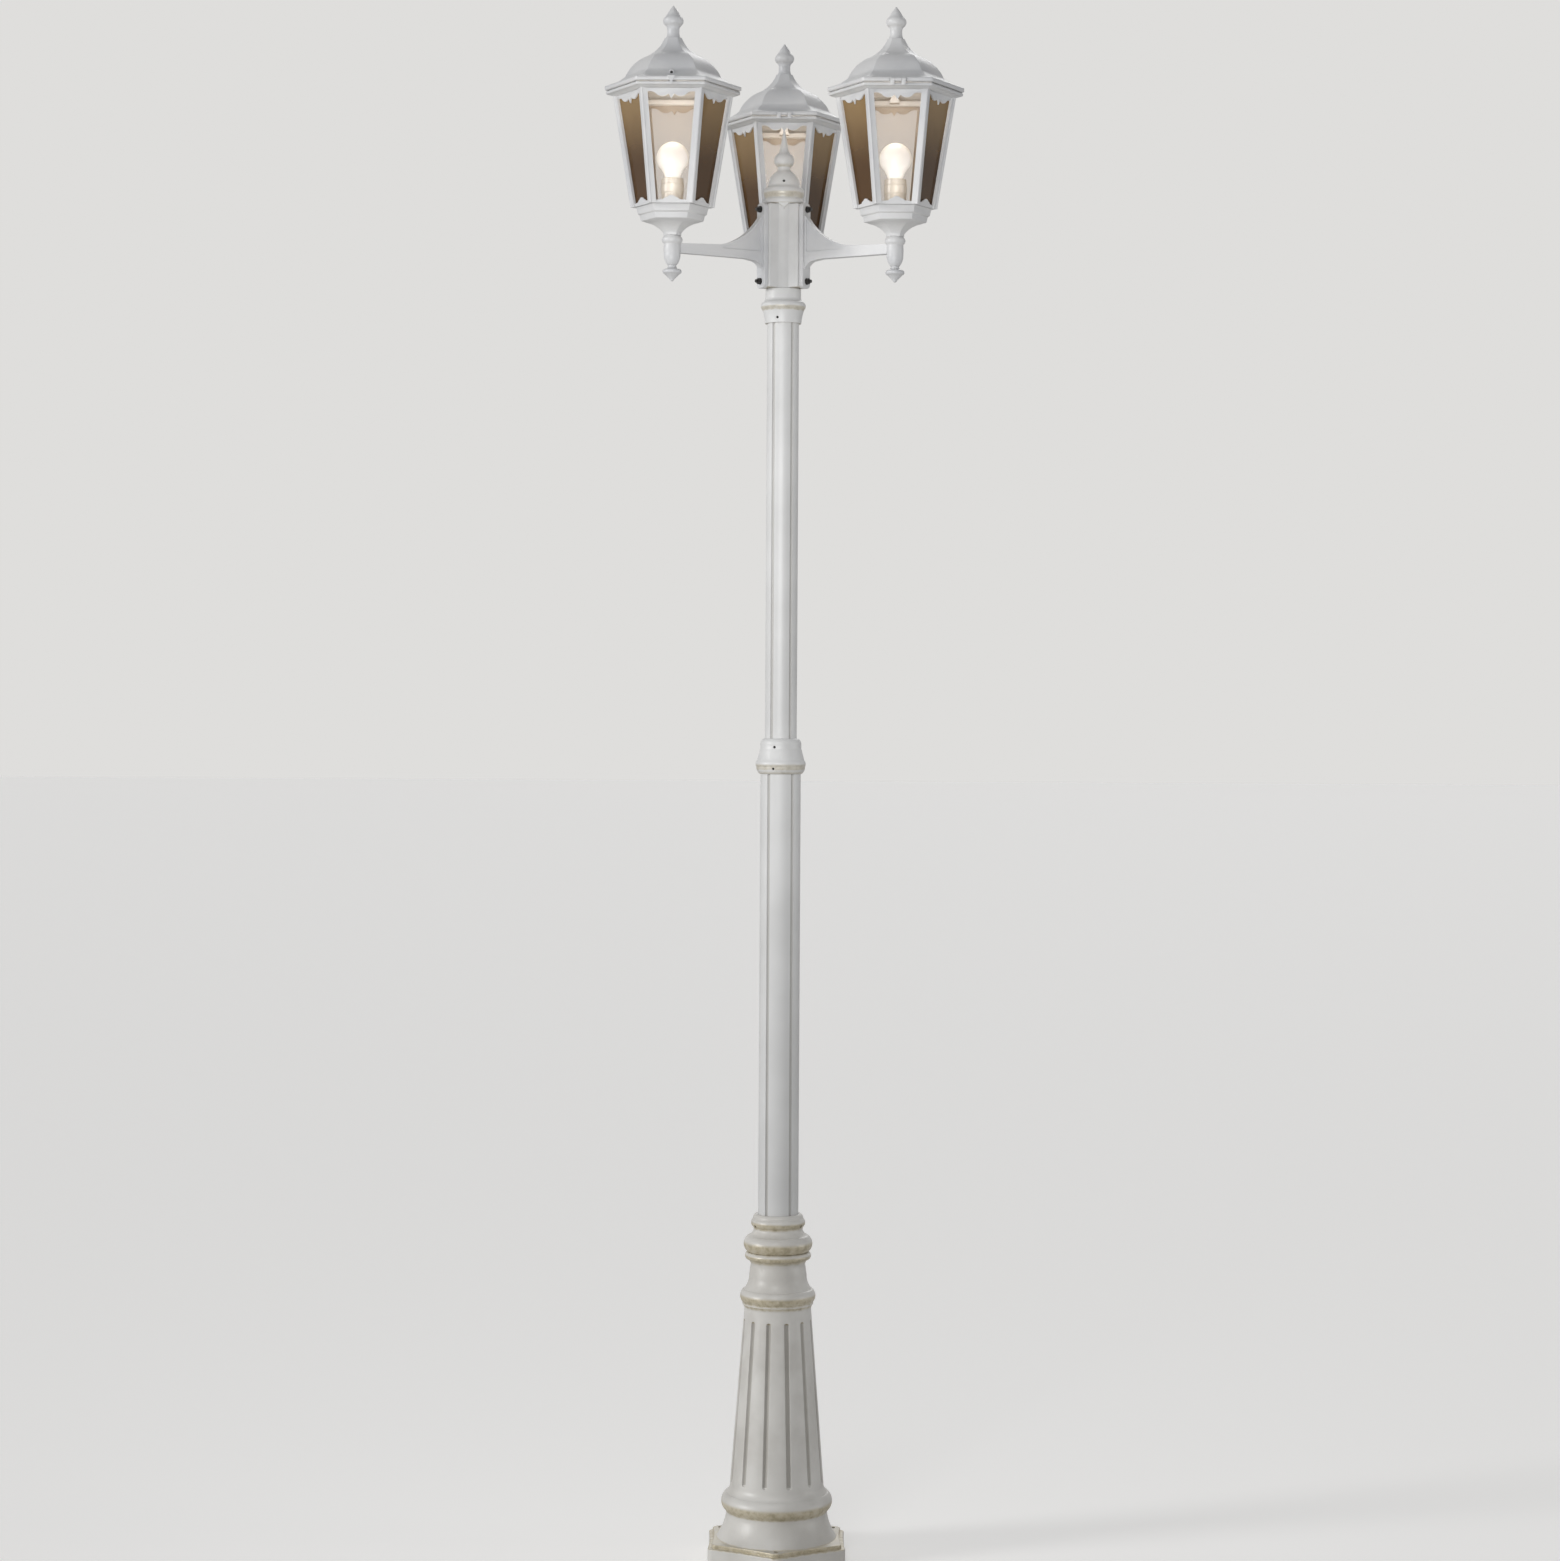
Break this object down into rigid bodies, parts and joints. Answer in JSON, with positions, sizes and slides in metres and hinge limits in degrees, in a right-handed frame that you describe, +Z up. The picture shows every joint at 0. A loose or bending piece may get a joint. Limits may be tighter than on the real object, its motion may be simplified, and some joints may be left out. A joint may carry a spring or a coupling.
{
  "type": "triple head lamp post",
  "caption": "Tall outdoor lamp post: fluted two-part pole on a moulded base, with hexagonal lanterns on bracket arms.",
  "frame": {"origin": "on the pole axis, at the plinth's flat underside", "axes": "+Z up along the pole, -Y towards the front, +X to the right as seen from the front"},
  "size_m": [0.6648, 0.5866, 2.898],
  "materials": {
    "painted_casting": "off-white enamel rubbed with a gold patina on the mouldings",
    "painted_tube": "satin off-white enamel",
    "dark_steel": "blackened steel",
    "zinc_steel": "zinc plated",
    "cable_rubber": "matt",
    "terminal_plastic": "matt",
    "tinted_glass": "clear, tinted light brown",
    "ceramic": "glazed white ceramic",
    "brass": "bare",
    "lamp_cap": "bright",
    "bulb_glass": "frosted, lit from inside"
  },
  "bodies": {
    "post": {"base_casting": "painted_casting", "base_collar": "painted_casting", "lower_tube": "painted_tube", "reducer_collar": "painted_casting", "upper_tube": "painted_tube", "hub_body": "painted_casting", "hub_cap": "painted_casting", "set_screws": "dark_steel", "flange_studs": "dark_steel", "flange_washers": "dark_steel", "flange_nuts": "dark_steel", "nipples": "zinc_steel", "lock_nuts": "zinc_steel", "hinge_pins": "zinc_steel", "lamp_leads": "cable_rubber", "pole_cable": "cable_rubber", "terminal_bracket": "zinc_steel", "bracket_screws": "zinc_steel", "terminal_block": "terminal_plastic", "hub_connector": "terminal_plastic", "arm_left": "painted_casting", "lower_finial_left": "painted_casting", "pan_left": "painted_casting", "cage_left": "painted_casting", "glass_panes_left": "tinted_glass", "lampholder_left": "ceramic", "holder_contacts_left": "brass", "arm_right": "painted_casting", "lower_finial_right": "painted_casting", "pan_right": "painted_casting", "cage_right": "painted_casting", "glass_panes_right": "tinted_glass", "lampholder_right": "ceramic", "holder_contacts_right": "brass", "arm_rear": "painted_casting", "lower_finial_rear": "painted_casting", "pan_rear": "painted_casting", "cage_rear": "painted_casting", "glass_panes_rear": "tinted_glass", "lampholder_rear": "ceramic", "holder_contacts_rear": "brass"},
    "roof_left": {"roof_left": "painted_casting", "roof_screw_left": "dark_steel", "roof_finial_left": "painted_casting"},
    "bulb_left": {"bulb_cap_left": "lamp_cap", "bulb_glass_left": "bulb_glass"},
    "roof_right": {"roof_right": "painted_casting", "roof_screw_right": "dark_steel", "roof_finial_right": "painted_casting"},
    "bulb_right": {"bulb_cap_right": "lamp_cap", "bulb_glass_right": "bulb_glass"},
    "roof_rear": {"roof_rear": "painted_casting", "roof_screw_rear": "dark_steel", "roof_finial_rear": "painted_casting"},
    "bulb_rear": {"bulb_cap_rear": "lamp_cap", "bulb_glass_rear": "bulb_glass"}
  },
  "joints": [
    {"name": "roof_hinge_left", "type": "hinge", "parent": "post", "child": "roof_left", "pos_m": [-0.20611, -0.006, 2.743], "axis": [-1, 0, 0], "range_deg": [0, 100]},
    {"name": "bulb_turn_left", "type": "hinge", "parent": "post", "child": "bulb_left", "pos_m": [-0.20611, -0.119, 2.56], "axis": [0, 0, 1], "range_deg": [0, 1080]},
    {"name": "roof_hinge_right", "type": "hinge", "parent": "post", "child": "roof_right", "pos_m": [0.20611, -0.232, 2.743], "axis": [1, 0, 0], "range_deg": [0, 100]},
    {"name": "bulb_turn_right", "type": "hinge", "parent": "post", "child": "bulb_right", "pos_m": [0.20611, -0.119, 2.56], "axis": [0, 0, 1], "range_deg": [0, 1080]},
    {"name": "roof_hinge_rear", "type": "hinge", "parent": "post", "child": "roof_rear", "pos_m": [0, 0.125, 2.743], "axis": [1, 0, 0], "range_deg": [0, 100]},
    {"name": "bulb_turn_rear", "type": "hinge", "parent": "post", "child": "bulb_rear", "pos_m": [0, 0.238, 2.56], "axis": [0, 0, 1], "range_deg": [0, 1080]}
  ]
}
